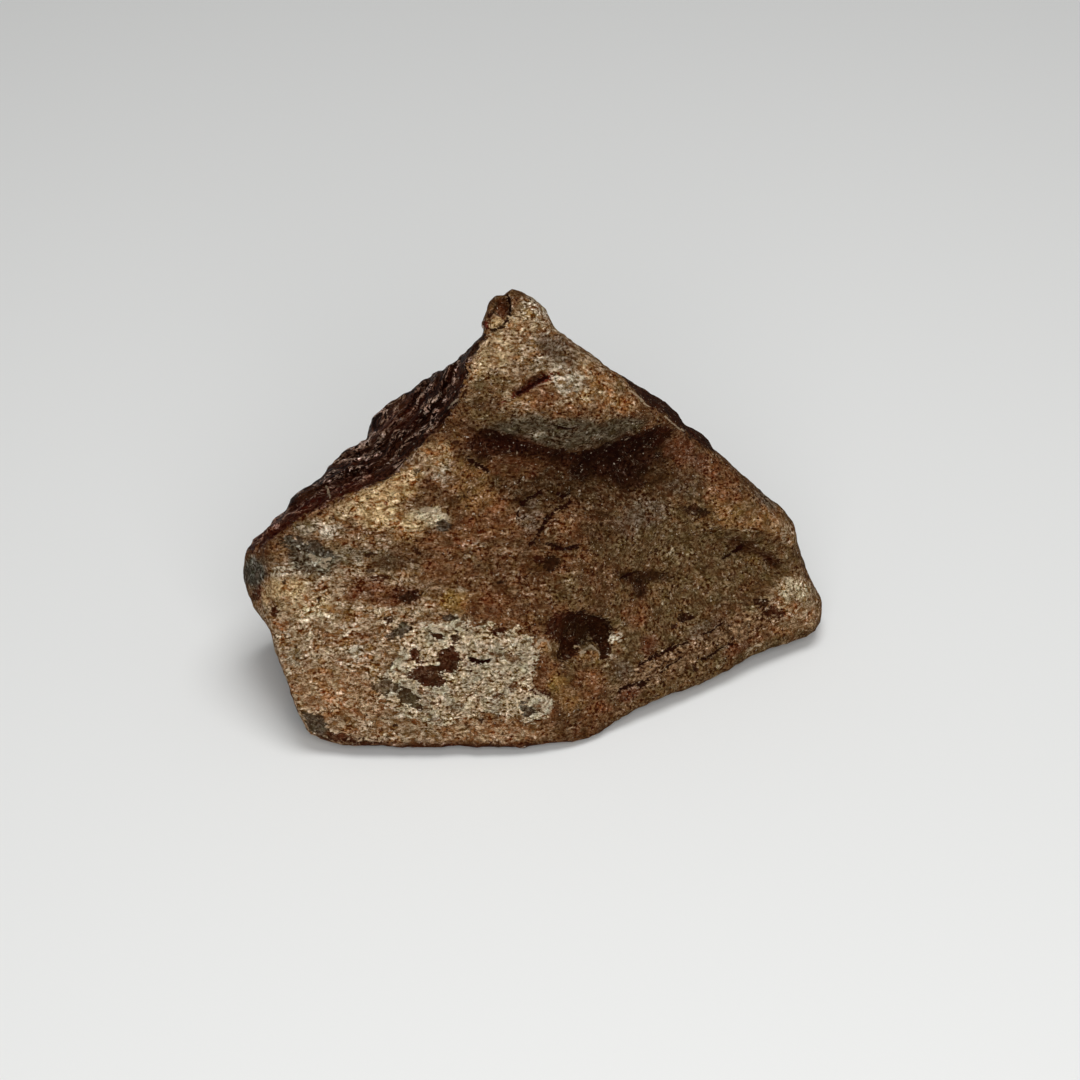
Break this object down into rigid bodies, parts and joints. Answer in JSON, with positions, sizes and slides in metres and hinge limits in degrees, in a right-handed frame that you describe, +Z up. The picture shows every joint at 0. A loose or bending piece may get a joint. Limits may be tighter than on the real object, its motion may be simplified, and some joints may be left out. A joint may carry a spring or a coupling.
{
  "type": "chondrite meteorite",
  "caption": "Irregular wedge of weathered stony meteorite with a hollowed face, an overhanging brow and a knobbed peak, resting on a flat spot.",
  "frame": {"origin": "under the middle of the bounding box, on the plane it rests on", "axes": "+Z up, +X along the longest extent, towards the low pointed end; the hollowed face looks to -Y"},
  "size_m": [0.0577, 0.0319, 0.0387],
  "materials": {
    "weathered_crust": "rough weathered crust, satin where it is glazed"
  },
  "bodies": {
    "root": {"meteorite": "weathered_crust"}
  },
  "joints": []
}
